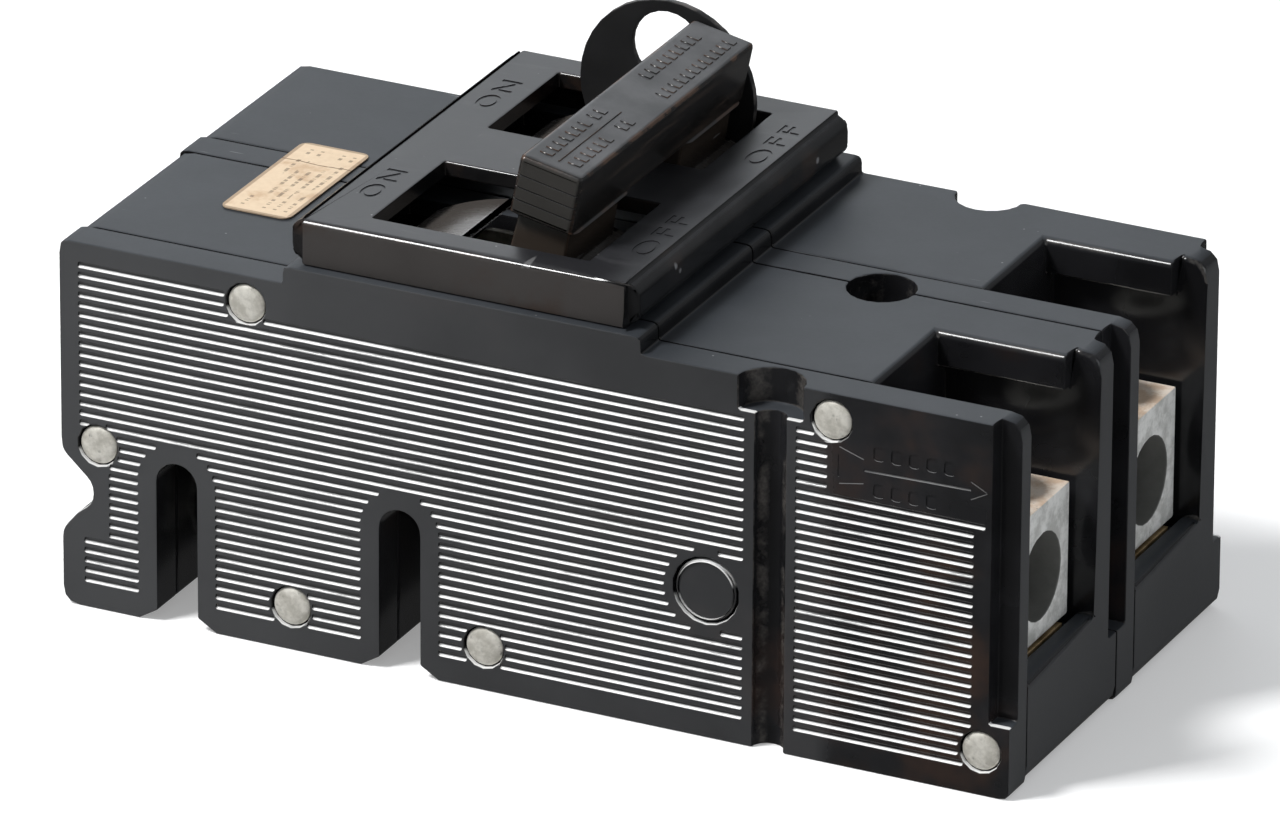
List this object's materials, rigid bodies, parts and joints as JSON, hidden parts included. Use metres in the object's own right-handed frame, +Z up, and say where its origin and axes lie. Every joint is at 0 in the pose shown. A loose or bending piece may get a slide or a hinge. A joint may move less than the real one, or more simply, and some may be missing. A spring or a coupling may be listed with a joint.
{
  "type": "molded case circuit breaker",
  "caption": "Molded case circuit breaker with ribbed side covers, tied toggle handle, padlock plate, load lugs and stab slots, and its switching mechanism inside.",
  "frame": {"origin": "centre of the footprint, on the plane the case rests on", "axes": "+X from the stab end to the load lugs, +Y across the poles towards the padlock plate, +Z up to the handle"},
  "size_m": [0.155, 0.076, 0.0844],
  "materials": {
    "case_moulding": "satin charcoal phenolic moulding, lightly scuffed on its edges",
    "handle_moulding": "glossy black moulding with fine parting lines and a worn brown top edge",
    "tinned_copper": "dull tin plate",
    "copper": "bare copper, slightly darkened",
    "silver_contact": "silver alloy contact face",
    "arc_chute_fibre": "red-brown vulcanised fibre with steel plates",
    "plated_steel": "zinc-plated pressed steel",
    "bimetal_strip": "rolled bimetal strip",
    "lug_aluminium": "extruded aluminium, tin plated, brownish on top",
    "lug_screw_plating": "plated screw with a socket head",
    "arc_shield_fibre": "dull black curved shield",
    "trip_bar_moulding": "brown moulded insulating bar",
    "rivet_zinc": "pale zinc-plated rivet head",
    "label_paper": null
  },
  "bodies": {
    "case": {"side_cover_a": "case_moulding", "side_cover_b": "case_moulding", "base_housing_a": "case_moulding", "base_housing_b": "case_moulding", "stab_jaw_a": "tinned_copper", "stab_jaw_b": "tinned_copper", "line_strap_a": "copper", "line_strap_b": "copper", "fixed_contact_a": "silver_contact", "fixed_contact_b": "silver_contact", "arc_chute_a": "arc_chute_fibre", "arc_chute_b": "arc_chute_fibre", "mechanism_frame_a": "plated_steel", "mechanism_frame_b": "plated_steel", "handle_pin_a": "plated_steel", "handle_pin_b": "plated_steel", "bimetal_a": "bimetal_strip", "bimetal_b": "bimetal_strip", "magnet_yoke_a": "plated_steel", "magnet_yoke_b": "plated_steel", "flexible_braid_a": "copper", "flexible_braid_b": "copper", "load_strap_a": "copper", "load_strap_b": "copper", "load_lug_a": "lug_aluminium", "load_lug_b": "lug_aluminium", "escutcheon": "case_moulding", "padlock_plate": "handle_moulding", "side_plug": "case_moulding", "rating_label": "label_paper", "case_rivet_1": "rivet_zinc", "case_rivet_2": "rivet_zinc", "case_rivet_3": "rivet_zinc", "case_rivet_4": "rivet_zinc", "case_rivet_5": "rivet_zinc", "case_rivet_6": "rivet_zinc"},
    "handle": {"handle_tie_bar": "handle_moulding", "handle_stem_a": "handle_moulding", "handle_stem_b": "handle_moulding", "handle_yoke_a": "plated_steel", "handle_yoke_b": "plated_steel", "main_spring_a": "plated_steel", "main_spring_b": "plated_steel"},
    "shield_a": {"arc_shield_a": "arc_shield_fibre"},
    "arm_a": {"contact_arm_a": "copper", "moving_contact_a": "silver_contact"},
    "cradle_a": {"cradle_a": "plated_steel"},
    "upper_link_a": {"upper_link_a": "plated_steel"},
    "lower_link_a": {"lower_link_a": "plated_steel"},
    "armature_a": {"armature_a": "plated_steel"},
    "lug_screw_a": {"lug_screw_a": "lug_screw_plating"},
    "shield_b": {"arc_shield_b": "arc_shield_fibre"},
    "arm_b": {"contact_arm_b": "copper", "moving_contact_b": "silver_contact"},
    "cradle_b": {"cradle_b": "plated_steel"},
    "upper_link_b": {"upper_link_b": "plated_steel"},
    "lower_link_b": {"lower_link_b": "plated_steel"},
    "armature_b": {"armature_b": "plated_steel"},
    "lug_screw_b": {"lug_screw_b": "lug_screw_plating"},
    "trip_bar": {"trip_bar": "trip_bar_moulding"}
  },
  "joints": [
    {"name": "handle_pivot", "type": "hinge", "parent": "case", "child": "handle", "pos_m": [-0.0116, 0, 0.0292], "axis": [0, -1, 0], "range_deg": [0, 23], "deforming": ["main_spring_a", "main_spring_b"]},
    {"name": "arc_shield_slide_a", "type": "hinge", "parent": "case", "child": "shield_a", "pos_m": [-0.0116, -0.01905, 0.0292], "axis": [0, -1, 0], "range_deg": [0, 9.3]},
    {"name": "contact_arm_pivot_a", "type": "hinge", "parent": "case", "child": "arm_a", "pos_m": [-0.019, -0.01905, 0.034], "axis": [0, -1, 0], "range_deg": [0, 16.1], "deforming": ["flexible_braid_a"]},
    {"name": "cradle_pivot_a", "type": "hinge", "parent": "case", "child": "cradle_a", "pos_m": [-0.0235, -0.01905, 0.055], "axis": [0, -1, 0], "range_deg": [0, 5]},
    {"name": "upper_link_pin_a", "type": "hinge", "parent": "cradle_a", "child": "upper_link_a", "pos_m": [-0.02, -0.01905, 0.052], "axis": [0, -1, 0], "range_deg": [-27, 0]},
    {"name": "lower_link_pin_a", "type": "hinge", "parent": "arm_a", "child": "lower_link_a", "pos_m": [-0.02869, -0.01905, 0.03938], "axis": [0, -1, 0], "range_deg": [0, 10.4]},
    {"name": "armature_pivot_a", "type": "hinge", "parent": "case", "child": "armature_a", "pos_m": [0.0263, -0.01905, 0.036], "axis": [0, -1, 0], "range_deg": [0, 4.1], "stiffness_Nm_per_rad": 0.004, "springref_deg": -8.59},
    {"name": "lug_screw_travel_a", "type": "slide", "parent": "case", "child": "lug_screw_a", "axis": [0, 0, -1], "range_m": [0, 0.009]},
    {"name": "arc_shield_slide_b", "type": "hinge", "parent": "case", "child": "shield_b", "pos_m": [-0.0116, 0.01905, 0.0292], "axis": [0, -1, 0], "range_deg": [0, 9.3]},
    {"name": "contact_arm_pivot_b", "type": "hinge", "parent": "case", "child": "arm_b", "pos_m": [-0.019, 0.01905, 0.034], "axis": [0, -1, 0], "range_deg": [0, 16.1], "deforming": ["flexible_braid_b"]},
    {"name": "cradle_pivot_b", "type": "hinge", "parent": "case", "child": "cradle_b", "pos_m": [-0.0235, 0.01905, 0.055], "axis": [0, -1, 0], "range_deg": [0, 5]},
    {"name": "upper_link_pin_b", "type": "hinge", "parent": "cradle_b", "child": "upper_link_b", "pos_m": [-0.02, 0.01905, 0.052], "axis": [0, -1, 0], "range_deg": [-27, 0]},
    {"name": "lower_link_pin_b", "type": "hinge", "parent": "arm_b", "child": "lower_link_b", "pos_m": [-0.02869, 0.01905, 0.03938], "axis": [0, -1, 0], "range_deg": [0, 10.4]},
    {"name": "armature_pivot_b", "type": "hinge", "parent": "case", "child": "armature_b", "pos_m": [0.0263, 0.01905, 0.036], "axis": [0, -1, 0], "range_deg": [0, 4.1], "stiffness_Nm_per_rad": 0.004, "springref_deg": -8.59},
    {"name": "lug_screw_travel_b", "type": "slide", "parent": "case", "child": "lug_screw_b", "axis": [0, 0, -1], "range_m": [0, 0.009]},
    {"name": "trip_bar_turn", "type": "hinge", "parent": "case", "child": "trip_bar", "pos_m": [0.022, 0, 0.038], "axis": [0, -1, 0], "range_deg": [0, 8], "stiffness_Nm_per_rad": 0.01, "springref_deg": -11.46}
  ],
  "couplings": [
    {"joint": "arc_shield_slide_a", "follows": "handle_pivot", "ratio": 0.4},
    {"joint": "contact_arm_pivot_a", "follows": "handle_pivot", "ratio": 0.69565},
    {"joint": "upper_link_pin_a", "follows": "handle_pivot", "ratio": -1.1683},
    {"joint": "lower_link_pin_a", "follows": "handle_pivot", "ratio": 0.44847},
    {"joint": "arc_shield_slide_b", "follows": "handle_pivot", "ratio": 0.4},
    {"joint": "contact_arm_pivot_b", "follows": "handle_pivot", "ratio": 0.69565},
    {"joint": "upper_link_pin_b", "follows": "handle_pivot", "ratio": -1.1683},
    {"joint": "lower_link_pin_b", "follows": "handle_pivot", "ratio": 0.44847}
  ]
}
